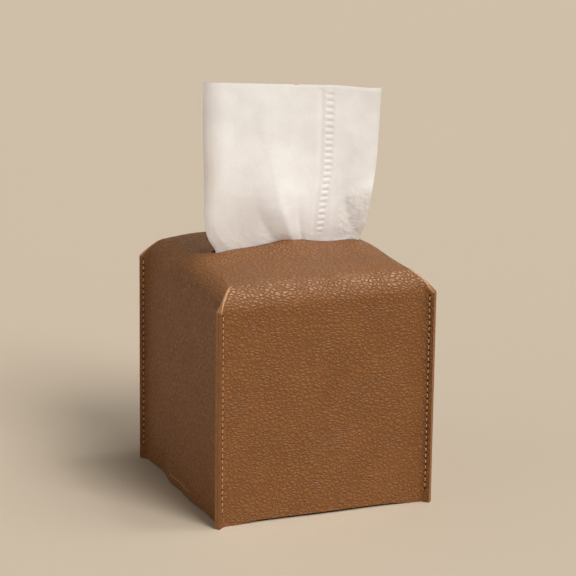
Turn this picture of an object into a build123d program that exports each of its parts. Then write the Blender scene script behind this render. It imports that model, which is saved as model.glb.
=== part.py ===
from build123d import *

import os
from math import atan2, cos, radians, sin, sqrt, tan

# A slip-over leather tissue-box cover with the carton and the tissues inside it.
#
# Frame: millimetres, +Z up, origin on the table under the middle of the cover. +X runs along the
# slit, and the panel that faces -Y is the front. The cover stands on the ends of its four seams.

os.makedirs("parts", exist_ok=True)

# ---------------------------------------------------------------- driving dimensions

# carton: a cube tissue carton of thin folding board
CARTON_WIDTH = 113.6
CARTON_HEIGHT = 125.0
BOARD = 0.5
FLAP_ROOM = 0.1            # between a folded flap and the walls around it
GLUE_TAB = 12.0
INNER_FLAP_DEPTH = 38.0
OPENING_ROOM = 3.0         # that the opening is longer than the slit above it, at each end
OPENING_WIDTH = 32.0
DUST_FLAP_ROOM = 1.0       # between the opening's edge and a dust flap
FILM = 0.2
FILM_SIDE = 3.3            # from an end of the film to the carton's wall

# leather cover: one cross-cut sheet, sewn at four upright corners
LEATHER = 1.5
SIDE_ROOM = 3.7            # between the carton and the inside of a panel
HEAD_ROOM = 8.0            # between the carton's top and the middle of the cover's top
TOP_RADIUS = 14.0          # how round the folded top edges are
CROWN_RISE = 5.0           # how far the top swells above the level where its sides would meet it
FLANGE = 5.5               # from the corner fold of a panel out to the raw edge
FLANGE_FOLD = 4.6          # radius of that corner fold
SEAM_SLIT = 0.15           # between the two raw leaves of a seam
SEAM_FREE = 1.6            # flange that stands above the foot of the top's rounding
CREASE_TOUCH = 40.0        # degrees round the top edge where the seam's end joins the crease
ARCH = 1.5                 # how far a panel's bottom edge stands off the table
ARCH_FOOT = 8.0            # flat foot of a panel beside each corner fold
ARCH_RAMP = 9.0

# slit in the top
SLOT_LENGTH = 88.0
SLOT_WIDTH = 8.0

# thread
THREAD = 0.7
THREAD_RISE = 0.45         # how far a stitch stands on the leather
NEEDLE_ROOM = 0.05         # round the thread in its needle hole
STITCH = 3.6
STITCH_DIP = 0.55          # where a stitch runs down into its hole
SEAM_ROOM = 0.05           # between the corner fold and the seam's thread
SEAM_START = 8.5
SEAM_STOP = 4.5            # from the last needle hole up to the foot of the top's rounding

# bottom straps, held to each other by hook and loop
STRAP = 1.4
STRAP_WIDTH = 36.0
STRAP_LONG = 100.0         # the short strap is as long as the two pads need to meet
STRAP_CORNER = 7.0
STRAP_SEWN = 8.5           # upright sewn end, above the bend
STRAP_STITCHES = 9
STRAP_SEAM = 3.7           # from the lower end of the sewn end up to its stitches
BEND_ROOM = 0.3            # round the bend, to the panel and to the sewn end
FLOOR_ROOM = 0.6           # from the table up to the lower strap
PAD = 0.8
PAD_LENGTH = 26.0
PAD_SIDE = 3.0             # strap that shows beside and beyond a pad
PAD_ROOM = 0.2             # between the hooks and the loops
PAD_HEM = 1.5              # from the pad's edge in to its stitches
PAD_GROOVE = 0.3           # how deep its stitches sink into the pad
PAD_STITCH_RISE = 0.25     # how far they stand on the strap's outer face
CARTON_SEAT = 0.3

# clip of tissues, bent into an upright U
CLIP_SIDE = 3.8            # from a side of the clip to the carton's wall
CLIP_GAP = 9.0             # the gap between the legs of the U
CLIP_HEAD = 3.5            # from the top of the legs to the film
CLIP_ROOM = 0.3            # from the clip to the carton, and from one bundle to the next
BUNDLES = 5

# tissue that stands in the slit
SHEET = 1.6
SHEET_FRONT = 0.8          # from the front lip of the slit to the sheet
TAIL_SIDE = 2.0            # from a side of the tail to the end of the slit
TAIL_ROOM = 0.5            # from the tail's end down to where the clip bends
FILM_SLIT_ROOM = 0.8       # round the sheet in the film
POP_HEIGHT = 92.0
POP_TOP_WIDTH = 99.0
POP_TURN = -20.4           # degrees that the top of the sheet turns about Z
POP_LEAN = 3.5             # how far the top's middle stands to the right of the slit's middle

# ---------------------------------------------------------------- worked-out places

STRAP_LOW = FLOOR_ROOM + STRAP / 2
STRAP_HIGH = STRAP_LOW + STRAP + 2 * PAD + PAD_ROOM
CARTON_Z = STRAP_HIGH + STRAP / 2 + CARTON_SEAT
CARTON_TOP = CARTON_Z + CARTON_HEIGHT
CARTON_HALF = CARTON_WIDTH / 2
CARTON_INSIDE = CARTON_HALF - BOARD
FLAP_HALF = CARTON_INSIDE - FLAP_ROOM

PANEL_INSIDE = CARTON_HALF + SIDE_ROOM
PANEL_FACE = PANEL_INSIDE + LEATHER
PANEL_MIDDLE = PANEL_INSIDE + LEATHER / 2
CROWN_TOP = CARTON_TOP + HEAD_ROOM + LEATHER
CROWN_RADIUS = (PANEL_FACE**2 + CROWN_RISE**2) / (2 * CROWN_RISE)
CROWN_CENTRE = CROWN_TOP - CROWN_RADIUS

# the foot of the top's rounding: where a fillet of TOP_RADIUS leaves the upright side
ROUND_X = PANEL_FACE - TOP_RADIUS
ROUND_Z = CROWN_CENTRE + sqrt((CROWN_RADIUS - TOP_RADIUS) ** 2 - ROUND_X**2)

BEND_X = PANEL_INSIDE - STRAP / 2 - BEND_ROOM
STRAP_SHORT = 2 * BEND_X - STRAP_LONG + PAD_LENGTH + 2 * PAD_SIDE
PAD_WIDTH = STRAP_WIDTH - 2 * PAD_SIDE

LEAF_OFFSET = (LEATHER + SEAM_SLIT) / 2
FOLD_ALONG = PANEL_MIDDLE - LEAF_OFFSET * sqrt(2)
FOLD_TANGENT = FLANGE_FOLD * tan(radians(22.5))
FOLD_DIAGONAL = (PANEL_MIDDLE + FOLD_ALONG) / sqrt(2)
TIP_DIAGONAL = FOLD_DIAGONAL + FLANGE
SEAM_DIAGONAL = FOLD_DIAGONAL + FOLD_TANGENT + SEAM_ROOM + THREAD / 2
SEAM_TOP = ROUND_Z + SEAM_FREE
ARCH_HALF = FOLD_ALONG - FOLD_TANGENT - ARCH_FOOT

SEAM_THROUGH = 2 * LEATHER + SEAM_SLIT
SEAM_STITCHES = int((ROUND_Z - SEAM_STOP - SEAM_START) / STITCH)
STRAP_ROW = STRAP_STITCHES * STITCH

SHEET_Y = -SLOT_WIDTH / 2 + SHEET_FRONT + SHEET / 2
TAIL_WIDTH = SLOT_LENGTH - 2 * TAIL_SIDE
OPENING_LENGTH = SLOT_LENGTH + 2 * OPENING_ROOM
FILM_LENGTH = 2 * (CARTON_INSIDE - FILM_SIDE)

CLIP_WIDTH = 2 * (CARTON_INSIDE - CLIP_SIDE)
CLIP_OUTSIDE = CARTON_INSIDE - CLIP_ROOM
CLIP_BOTTOM = CARTON_Z + 2 * BOARD + FLAP_ROOM + CLIP_ROOM
CLIP_BEND = CLIP_BOTTOM + CLIP_OUTSIDE
CLIP_TOP = CARTON_TOP - BOARD - FILM - CLIP_HEAD
BUNDLE = (CLIP_OUTSIDE - CLIP_GAP / 2) / BUNDLES

CORNERS = {"back_right": 45, "back_left": 135, "front_left": 225, "front_right": 315}
UNDER = 50.0               # how far a cutting tool runs past what it cuts


# ---------------------------------------------------------------- helpers

def block(low, high):
    """A box between two corners."""
    size = [b - a for a, b in zip(low, high)]
    middle = [(a + b) / 2 for a, b in zip(low, high)]
    return Pos(*middle) * Box(*size)


def upright(face, low, high):
    """A flat shape in plan, from one height to another."""
    return extrude(Pos(0, 0, low) * face, high - low)


def stitch_row(count, through):
    """Lockstitch through two faces that lie at local x = +-through / 2, going up from local z = 0:
    a line of stitches on each face, and a rung of thread through each needle hole."""
    points = [(0, 0)]
    for number in range(count):
        start = number * STITCH
        points += [(THREAD_RISE / 4, start), (THREAD_RISE, start + STITCH_DIP)]
        points += [(THREAD_RISE, start + STITCH - STITCH_DIP)]
    points += [(THREAD_RISE / 4, count * STITCH), (0, count * STITCH)]
    outline = make_face(Plane.XZ * Polyline(*points, close=True))
    line = Pos(through / 2, THREAD / 2, 0) * extrude(outline, THREAD)
    rungs = [Pos(0, 0, n * STITCH) * Box(through, THREAD, THREAD) for n in range(1, count)]
    ends = [Pos(0, 0, z) * Box(through, THREAD, THREAD) for z in (THREAD / 2, count * STITCH - THREAD / 2)]
    return line + mirror(line, about=Plane.YZ) + rungs + ends


def needle_holes(count, through):
    """The holes that stitch_row's rungs run through, a little larger and longer."""
    hole = Box(through + 2 * THREAD, THREAD + 2 * NEEDLE_ROOM, THREAD + 2 * NEEDLE_ROOM)
    heights = [THREAD / 2] + [n * STITCH for n in range(1, count)] + [count * STITCH - THREAD / 2]
    return [Pos(0, 0, z) * hole for z in heights]


def at_corner(angle, shape):
    """Turns a shape made on the local +Y line onto the corner diagonal at that angle."""
    return Rot(0, 0, angle - 90) * shape


# ---------------------------------------------------------------- leather cover

SEAM_PLACE = Pos(0, SEAM_DIAGONAL, SEAM_START)


def strap_row_place(side, bend_z):
    """Where a strap's stitches run: along Y, through the panel and the strap's sewn end."""
    middle = PANEL_FACE - (LEATHER + STRAP) / 2
    seam_z = bend_z + STRAP / 2 + BEND_ROOM + STRAP_SEAM
    return Pos(side * middle, STRAP_ROW / 2, seam_z) * Rot(90, 0, 0)


def panel_plan():
    """The four upright panels in plan: straight, then folded out into the two leaves of a seam."""
    tip = (TIP_DIAGONAL - LEAF_OFFSET) / sqrt(2), (TIP_DIAGONAL + LEAF_OFFSET) / sqrt(2)
    right = [(FOLD_ALONG, -PANEL_MIDDLE), (tip[0], -tip[1])]
    left = [(-x, y) for x, y in reversed(right)]
    panel = trace(FilletPolyline(*left, *right, radius=FLANGE_FOLD), LEATHER)
    return [Rot(0, 0, quarter * 90) * panel for quarter in range(4)]


def top_block(inset):
    """The space under the top's outer surface, or under a surface that lies inset mm inside it:
    an upright side, a rounded edge and a crowned top, the same along X and along Y."""
    radius = TOP_RADIUS - inset
    lean = atan2(ROUND_Z - CROWN_CENTRE, ROUND_X)

    def on_edge(angle):
        return ROUND_X + radius * cos(angle), ROUND_Z + radius * sin(angle)

    def mirrored(points):
        return [(-x, z) for x, z in points]

    right = [on_edge(0), on_edge(lean / 2), on_edge(lean)]
    left = mirrored(right)
    outline = [
        ThreePointArc(*right),
        ThreePointArc(right[2], (0, CROWN_TOP - inset), left[2]),
        ThreePointArc(*left),
        Line(left[0], right[0]),
    ]
    across = extrude(Plane.XZ * make_face(outline), PANEL_FACE - inset, both=True)
    return across & (Rot(0, 0, 90) * across)


def seam_end(inside):
    """The upper end of a seam, where its two leaves run together into the crease of the top."""
    turn = radians(CREASE_TOUCH)
    touch = sqrt(2) * (ROUND_X + TOP_RADIUS * cos(turn)), ROUND_Z + TOP_RADIUS * sin(turn)
    root = touch[0] - TOP_RADIUS / 2, ROUND_Z
    outline = Polyline((TIP_DIAGONAL, ROUND_Z), (TIP_DIAGONAL, SEAM_TOP), touch, root, close=True)
    web = extrude(make_face(Plane.YZ * outline), SEAM_THROUGH / 2, both=True)
    return [at_corner(angle, web) - inside for angle in CORNERS.values()]


def bottom_arch():
    """What is cut from under a pair of facing panels, so that only the corners stand."""
    long, short = ARCH_HALF, ARCH_HALF - ARCH_RAMP
    outline = make_face(Plane.XZ * Polyline((-long, 0), (-short, ARCH), (short, ARCH), (long, 0), close=True))
    return extrude(outline, PANEL_FACE + UNDER, both=True)


def leather_cover():
    inside = top_block(LEATHER)
    cover = upright(panel_plan()[0], 0, ROUND_Z)
    for panel in panel_plan()[1:]:
        cover += upright(panel, 0, ROUND_Z)
    cover += top_block(0) - inside
    cover += seam_end(inside)
    cover -= upright(SlotOverall(SLOT_LENGTH, SLOT_WIDTH), CARTON_TOP, CROWN_TOP + UNDER)
    arch = bottom_arch()
    cover -= [arch, Rot(0, 0, 90) * arch]
    holes = []
    for angle in CORNERS.values():
        holes += [at_corner(angle, SEAM_PLACE * hole) for hole in needle_holes(SEAM_STITCHES, SEAM_THROUGH)]
    for side, bend_z in ((-1, STRAP_LOW), (1, STRAP_HIGH)):
        place = strap_row_place(side, bend_z)
        holes += [place * hole for hole in needle_holes(STRAP_STITCHES, LEATHER + STRAP)]
    return cover - holes


# ---------------------------------------------------------------- bottom straps

def sewn_end(side, bend_z):
    """The upright end of a strap, flat on the inside of its panel."""
    low = bend_z + STRAP / 2 + BEND_ROOM
    xs = sorted((side * (PANEL_INSIDE - STRAP), side * PANEL_INSIDE))
    end = block((xs[0], -STRAP_WIDTH / 2, low), (xs[1], STRAP_WIDTH / 2, low + STRAP_SEWN))
    place = strap_row_place(side, bend_z)
    return end - [place * hole for hole in needle_holes(STRAP_STITCHES, LEATHER + STRAP)]


def free_strap(length, bend_z):
    """The strap's free length, running in -X from its bend on the right, with a rounded far end
    and the needle holes of its pad."""
    plan = Pos(BEND_X - length / 2, 0) * Rectangle(length, STRAP_WIDTH)
    plan = fillet(plan.vertices().group_by(Axis.X)[0], STRAP_CORNER)
    flat = upright(plan, bend_z - STRAP / 2, bend_z + STRAP / 2)
    bend = Pos(BEND_X, 0, bend_z) * Rot(90, 0, 0) * Cylinder(STRAP / 2, STRAP_WIDTH)
    holes = upright(pad_needles(THREAD + 2 * NEEDLE_ROOM), bend_z - STRAP, bend_z + STRAP)
    return flat + bend - on_pad(length, holes)


def on_pad(length, shape):
    """Moves a shape from the origin to the middle of the pad near a strap's far end."""
    return Pos(BEND_X - length + PAD_SIDE + PAD_LENGTH / 2, 0) * shape


def pad_ring(room):
    """The line of a pad's stitches in plan, with some room round it."""
    long, wide = PAD_LENGTH - 2 * PAD_HEM, PAD_WIDTH - 2 * PAD_HEM
    outside = Rectangle(long + 2 * room, wide + 2 * room)
    return outside - Rectangle(long - 2 * THREAD - 2 * room, wide - 2 * THREAD - 2 * room)


def pad_needles(side):
    """Square stubs in plan at the pad's needle holes, all round its line of stitches."""
    half_x = PAD_LENGTH / 2 - PAD_HEM - THREAD / 2
    half_y = PAD_WIDTH / 2 - PAD_HEM - THREAD / 2
    many_x, many_y = int(2 * half_x / STITCH), int(2 * half_y / STITCH)
    places = []
    for end in (-1, 1):
        places += [(half_x * (2 * n / many_x - 1), end * half_y) for n in range(many_x + 1)]
        places += [(end * half_x, half_y * (2 * n / many_y - 1)) for n in range(1, many_y)]
    return Sketch() + [Pos(*place) * Rectangle(side, side) for place in places]


def pad(length, base, face):
    """A hook or loop pad from the strap's face (base) to its own (face), with its sunk stitch line."""
    plate = upright(Rectangle(PAD_LENGTH, PAD_WIDTH), min(base, face), max(base, face))
    sunk = face + PAD_GROOVE * (base - face) / PAD
    groove = upright(pad_ring(NEEDLE_ROOM), min(sunk, face), max(sunk, face))
    holes = upright(pad_needles(THREAD + 2 * NEEDLE_ROOM), min(base, face), max(base, face))
    return on_pad(length, plate - groove - holes)


def pad_thread(length, back, face):
    """The thread that holds a pad: a line on the strap's back, a sunk line on the pad's face, and
    the stubs through both."""
    inward = 1 if back > face else -1
    sunk = face + inward * PAD_GROOVE
    shown = face + inward * NEEDLE_ROOM
    proud = back + inward * PAD_STITCH_RISE
    lines = upright(pad_ring(0), min(sunk, shown), max(sunk, shown))
    lines += upright(pad_ring(0), min(back, proud), max(back, proud))
    lines += upright(pad_needles(THREAD), min(sunk, proud), max(sunk, proud))
    return on_pad(length, lines)


# ---------------------------------------------------------------- carton

def carton_walls():
    """The four-sided wrap of the carton."""
    plan = Rectangle(CARTON_WIDTH, CARTON_WIDTH) - Rectangle(2 * CARTON_INSIDE, 2 * CARTON_INSIDE)
    return upright(plan, CARTON_Z, CARTON_TOP)


def carton_glue_tab():
    """The tab that closes the wrap, glued inside the right wall at its back corner."""
    low = CARTON_Z + 2 * BOARD + 2 * FLAP_ROOM
    high = CARTON_TOP - 2 * BOARD - 2 * FLAP_ROOM
    return block(
        (CARTON_INSIDE - BOARD, CARTON_INSIDE - GLUE_TAB, low), (CARTON_INSIDE, CARTON_INSIDE, high)
    )


def flap_pair(depth, low):
    """Two flaps folded in from the left and the right wall, each that deep."""
    pair = []
    for side in (-1, 1):
        xs = sorted((side * FLAP_HALF, side * (FLAP_HALF - depth)))
        pair.append(block((xs[0], -FLAP_HALF, low), (xs[1], FLAP_HALF, low + BOARD)))
    return pair


def carton_top_panel():
    """The glued-down top with its dispensing opening."""
    plan = Rectangle(2 * FLAP_HALF, 2 * FLAP_HALF) - SlotOverall(OPENING_LENGTH, OPENING_WIDTH)
    return upright(plan, CARTON_TOP - BOARD, CARTON_TOP)


def dispensing_film():
    """The clear film under the opening, with the slit that holds the tissue."""
    reach = OPENING_WIDTH / 2 + DUST_FLAP_ROOM - FLAP_ROOM
    slit = Rectangle(TAIL_WIDTH + 2 * FILM_SLIT_ROOM, SHEET + 2 * FILM_SLIT_ROOM)
    plan = Rectangle(FILM_LENGTH, 2 * reach) - Pos(0, SHEET_Y) * slit
    return upright(plan, CARTON_TOP - BOARD - FILM, CARTON_TOP - BOARD)


# ---------------------------------------------------------------- tissues

def tissue_bundle(number):
    """One bundle of the clip: an upright U across Y, nested in the bundle outside it."""
    outer = CLIP_OUTSIDE - number * BUNDLE
    inner = outer - BUNDLE + CLIP_ROOM

    def u_shape(half):
        leg = Pos(0, (CLIP_TOP + CLIP_BEND) / 2) * Rectangle(2 * half, CLIP_TOP - CLIP_BEND)
        below = Pos(0, -half / 2) * Rectangle(2 * half, half)
        return leg + Pos(0, CLIP_BEND) * (Circle(half) & below)

    outline = Plane.YZ * (u_shape(outer) - u_shape(inner))
    return extrude(outline, CLIP_WIDTH / 2, both=True)


# how far the standing sheet is folded to the back (+) at seven places across it, from left to
# right: nothing at the slit, most at the middle height, and a little at the top edge
FOLDS = [
    (0.00, (0.0, 0.0, 0.0, 0.0, 0.0, 0.0, 0.0)),
    (0.45, (0.0, 1.5, 4.5, -4.0, 0.5, -2.0, 0.0)),
    (1.00, (0.0, 1.5, 1.0, -2.0, 0.5, 0.5, 0.0)),
]


def sheet_section(share, folds):
    """A closed outline across the standing sheet at that share of its height."""
    height = CROWN_TOP + share * POP_HEIGHT
    half = (TAIL_WIDTH + share * (POP_TOP_WIDTH - TAIL_WIDTH)) / 2
    turn = share * POP_TURN
    places = [half * (2 * n / (len(folds) - 1) - 1) for n in range(len(folds))]
    front = Spline(*[(x, y - SHEET / 2) for x, y in zip(places, folds)])
    back = Spline(*[(x, y + SHEET / 2) for x, y in zip(places, folds)])
    ends = [Line(front @ 0, back @ 0), Line(front @ 1, back @ 1)]
    outline = make_face(front + back + ends)
    return Pos(share * POP_LEAN, SHEET_Y, height) * Rot(0, 0, turn) * outline


def tissue_sheet():
    """The tissue that stands in the slit, and its tail down between the legs of the clip."""
    standing = loft([sheet_section(share, folds) for share, folds in FOLDS])
    tail = block(
        (-TAIL_WIDTH / 2, SHEET_Y - SHEET / 2, CLIP_BEND + TAIL_ROOM),
        (TAIL_WIDTH / 2, SHEET_Y + SHEET / 2, CROWN_TOP),
    )
    return standing + tail


# ---------------------------------------------------------------- nodes

nodes = {"leather_cover": leather_cover()}
for corner, angle in CORNERS.items():
    nodes[f"seam_thread_{corner}"] = at_corner(angle, SEAM_PLACE * stitch_row(SEAM_STITCHES, SEAM_THROUGH))

strap_thread = stitch_row(STRAP_STITCHES, LEATHER + STRAP)
nodes["strap_thread_left"] = strap_row_place(-1, STRAP_LOW) * strap_thread
nodes["strap_thread_right"] = strap_row_place(1, STRAP_HIGH) * strap_thread
nodes["strap_sewn_end_left"] = sewn_end(-1, STRAP_LOW)
nodes["strap_sewn_end_right"] = sewn_end(1, STRAP_HIGH)

low_base, low_back = STRAP_LOW + STRAP / 2, STRAP_LOW - STRAP / 2
high_base, high_back = STRAP_HIGH - STRAP / 2, STRAP_HIGH + STRAP / 2
from_left = Rot(0, 0, 180)
nodes["strap_long"] = from_left * free_strap(STRAP_LONG, STRAP_LOW)
nodes["hook_pad"] = from_left * pad(STRAP_LONG, low_base, low_base + PAD)
nodes["hook_pad_thread"] = from_left * pad_thread(STRAP_LONG, low_back, low_base + PAD)
nodes["strap_short"] = free_strap(STRAP_SHORT, STRAP_HIGH)
nodes["loop_pad"] = pad(STRAP_SHORT, high_base, high_base - PAD)
nodes["loop_pad_thread"] = pad_thread(STRAP_SHORT, high_back, high_base - PAD)

nodes["carton_walls"] = carton_walls()
nodes["carton_glue_tab"] = carton_glue_tab()
nodes["carton_top_panel"] = carton_top_panel()
dust_flap = FLAP_HALF - OPENING_WIDTH / 2 - DUST_FLAP_ROOM
nodes["carton_dust_flaps"] = [
    Rot(0, 0, 90) * flap for flap in flap_pair(dust_flap, CARTON_TOP - 2 * BOARD)
]
nodes["carton_inner_flaps"] = flap_pair(INNER_FLAP_DEPTH, CARTON_Z + BOARD)
nodes["carton_outer_flaps"] = [
    Rot(0, 0, 90) * flap for flap in flap_pair(FLAP_HALF - FLAP_ROOM, CARTON_Z)
]
nodes["dispensing_film"] = dispensing_film()

for number in range(BUNDLES):
    nodes[f"tissue_bundle_{number + 1}"] = tissue_bundle(number)
nodes["tissue_sheet"] = tissue_sheet()

for name, shape in nodes.items():
    if isinstance(shape, list):
        shape = Compound(children=[piece.solid() for piece in shape])
    export_step(shape, f"parts/{name}.step")
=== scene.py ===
from math import asin, atan2, cos, pi, radians, sin, sqrt, tan

import bmesh
import bpy
import numpy as np
from mathutils import Matrix, Vector


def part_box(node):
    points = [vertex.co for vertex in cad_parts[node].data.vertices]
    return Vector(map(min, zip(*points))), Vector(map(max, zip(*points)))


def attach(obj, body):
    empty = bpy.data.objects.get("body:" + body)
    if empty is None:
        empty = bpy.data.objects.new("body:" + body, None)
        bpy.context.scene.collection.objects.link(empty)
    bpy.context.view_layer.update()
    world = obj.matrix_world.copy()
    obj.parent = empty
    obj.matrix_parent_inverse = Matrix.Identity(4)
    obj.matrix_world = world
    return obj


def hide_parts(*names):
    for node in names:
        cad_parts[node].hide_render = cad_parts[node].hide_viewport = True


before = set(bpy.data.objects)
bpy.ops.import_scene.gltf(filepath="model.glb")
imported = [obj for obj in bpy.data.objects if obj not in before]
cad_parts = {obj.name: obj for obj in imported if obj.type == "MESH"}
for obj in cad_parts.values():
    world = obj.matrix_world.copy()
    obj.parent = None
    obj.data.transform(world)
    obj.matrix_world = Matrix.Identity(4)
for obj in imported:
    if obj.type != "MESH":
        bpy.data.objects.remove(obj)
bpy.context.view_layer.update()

# A soft leather tissue-box cover with a tissue standing in its slit. Sizes are in millimetres, in the
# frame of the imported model, and become metres where a mesh is made.
MM = 0.001


def node_box(node):
    """A node's lowest and highest corners at rest, in millimetres."""
    return [np.array(corner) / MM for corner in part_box(node)]


# ---------------------------------------------------------------- sizes

# camera, fitted to the ends of the seams, with its angles in degrees
CAMERA_AZIMUTH = -22.09
CAMERA_ELEVATION = 15.87
CAMERA_ROLL = 0.72
CAMERA_DISTANCE = 1600.0
CAMERA_TARGET = 2.0, 0.0, 115.2
CAMERA_LENS, CAMERA_SENSOR = 175.3, 36

# leather cover
LEATHER = 1.5
PANEL_FACE = 62.0            # outer face of a side panel, from the middle
CROWN_TOP = node_box("leather_cover")[1][2]
CROWN_RISE = 5.0
TOP_RADIUS = 14.0
FLANGE = 5.5                 # from the corner fold out to the raw edge
FLANGE_FOLD = 4.6            # radius of that fold
SEAM_SLIT = 0.15             # between the two raw leaves of a seam
SEAM_FREE = 1.6              # leaf that stands above the foot of the top's rounding
ARCH = 1.5                   # how far a panel's lower edge stands off the table
ARCH_START, ARCH_END = 57.0, 36.0
SLOT_LENGTH, SLOT_WIDTH = 88.0, 8.0

# the corners of the top edge, by the angle round its rounding: 0 at the foot, and steep at the top
LEAVES_OPEN = radians(40)    # below this a corner opens into its two leaves
LEAVES_EASE = 1.6            # how gently it does: the power of the share
RIDGE_FADE = radians(58), radians(80)    # between these the sharp ridge, with its pale line of wear and painted highlight, fades into the soft top
RIDGE_SOFT = 12.0            # half the width over which the ridge is rounded on the top
RIDGE_STEEPEST = radians(20)    # keeps its slope finite at the foot

CROWN_RADIUS = (PANEL_FACE**2 + CROWN_RISE**2) / (2 * CROWN_RISE)
CROWN_CENTRE = CROWN_TOP - CROWN_RADIUS
ROUND_X = PANEL_FACE - TOP_RADIUS
ROUND_Z = CROWN_CENTRE + sqrt((CROWN_RADIUS - TOP_RADIUS) ** 2 - ROUND_X**2)
LEAN = atan2(ROUND_Z - CROWN_CENTRE, ROUND_X)
TOP_HALF = ROUND_X + TOP_RADIUS * cos(LEAN)
SEAM_TURN = asin(SEAM_FREE / TOP_RADIUS)

PANEL_MIDDLE = PANEL_FACE - LEATHER / 2
LEAF_OFFSET = (LEATHER + SEAM_SLIT) / 2
FOLD_TANGENT = FLANGE_FOLD * tan(radians(22.5))
FOLD_START = PANEL_MIDDLE - LEAF_OFFSET * sqrt(2) - FOLD_TANGENT
FOLD_END = FOLD_START + FLANGE_FOLD * pi / 4
LEAF_END = FOLD_END + FLANGE - FOLD_TANGENT

# gentle bulges of the top: middle x and y, reach in x and y, and height
BULGES = [
    (-10, 0, 60, 16, 3.6),
    (1, -1, 13, 17, 2.2),
    (42, -2, 12, 15, 2.5),
    (-38, -5, 12, 9, 0.9),
    (-34, 46, 28, 12, 2.8),
    (54, 5, 10, 60, -1.5),
]
BULGE_FADE = 80, 125         # heights between which a panel takes up the bulges of the top

# how far the foot of the left panel swells out, in two places along it: y, width and height
FOOT_SWELLS = [(15, 12, 1.8), (-17, 18, 1.6)]
FOOT_DROP = 0.3              # how far the leather sinks there, as a share of the swell
FOOT_HEIGHT = 30             # up to which the panel swells
FOOT_ENDS = 40, 54           # y between which the swell ends before the seams

# the soft unevenness of the panels
WAVE = 0.22
WAVE_SEAM, WAVE_EDGE = 22, 30    # how far from a seam and from the top edge it starts

# how finely a panel is divided: evenly spaced columns up to a share of its half width, then finer ones
EVEN_SHARE = 0.9
EVEN_COLUMNS, FINE_COLUMNS = 36, 18
EDGE_ROWS, LEAF_ROWS, SIDE_ROWS = 18, 2, 60

# stitches
STITCH = 3.56
STITCH_SPACE = 0.12          # from the middle of a needle hole to the end of a stitch
STITCH_PROUD, STITCH_SUNK = 0.42, 0.5    # its middle in front of the leather, and its ends behind it
STITCH_BEND = 2.4            # how late a stitch bends down to its ends: the power of the share
STITCH_SLANT = radians(5)
THREAD = 0.55
THREAD_WIDER = 1.1           # its width as a share of its thickness
THREAD_TAPER = 0.35          # how much thinner it is at a stitch's ends, as a share
THREAD_TWIST = 0.1           # turns from the middle of a stitch to its end
THREAD_RINGS, THREAD_SIDES = 9, 8
SEAM_START = 8.5
SEAM_STITCHES = 32
SEAM_DIAGONAL = 88.6         # from the middle of the cover out to a seam's stitches
STRAP_STITCHES = 9
STRAP_THREAD_RISE = 0.45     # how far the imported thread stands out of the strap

# the marks that they leave in the leather, with painted shade in the holes and along the pressed line
HOLE = 0.35, 0.85            # radii between which a needle hole fades out
HOLE_DEPTH, HOLE_SHADE = 0.5, 0.72
PRESSED = 0.3, 1.5           # distances from a seam's stitches between which the pressed line fades out
PRESSED_DEPTH, PRESSED_SHADE = 0.35, 0.1    # the first as a share of a hole's depth
PRESSED_PAST = 0.5           # how far that line goes on past the stitches

# where the stitches of a seam lie along the flat sheet
SEAM_ALONG = FOLD_END + SEAM_DIAGONAL - (PANEL_MIDDLE + FOLD_START + FOLD_TANGENT) / sqrt(2) - FOLD_TANGENT

# standing tissue
TAIL_END, SHEET_TOP = (corner[2] for corner in node_box("tissue_sheet"))
SHEET_Y = -2.4
PLY = 0.14                   # thickness of one layer of the folded tissue
HALF_SHEET = 100             # its width when folded
FOLD_TIP = 0.02              # share of the width over which the fold at the left edge rounds
TISSUE_COLUMNS, TIP_COLUMNS = 150, 7
TAIL_TOP = 134               # up to which the sheet is its plain tail, divided coarsely
TAIL_ROWS, ROW_HEIGHT = 24, 0.55

# the gap between its two layers at the left edge: at its ends, and how much more where the sheet is loose
GAP_LEAST, GAP_LOOSE = 0.4, 0.9
GAP_NARROWS = 0.6            # by the right edge, as a share
LOOSE_FROM, LOOSE_TO = (140, 165), (SHEET_TOP - 25, SHEET_TOP)    # heights between which that comes and goes

# its folded left edge and its open right edge: height, x and y
LEFT_EDGE = [
    (TAIL_END, -42, SHEET_Y), (128, -42, SHEET_Y), (138, -42.2, SHEET_Y), (142, -43.1, -2.6),
    (148, -46.9, -3.4), (155, -48.9, -3.4), (170, -48.5, -0.6), (186, -47.0, 4.6), (208, -45.3, 11.4),
    (SHEET_TOP + 1, -43.8, 17.3),
]
RIGHT_EDGE = [
    (TAIL_END, 42, SHEET_Y), (128, 42, SHEET_Y), (138, 42.6, SHEET_Y), (141, 44.2, SHEET_Y),
    (149, 46.0, -3.8), (158, 47.5, -5.2), (165, 48.2, -6.3), (183, 50.7, -9.3), (207, 50.9, -13.3),
    (SHEET_TOP - 1.5, 50.1, -17.3),
]

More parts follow.
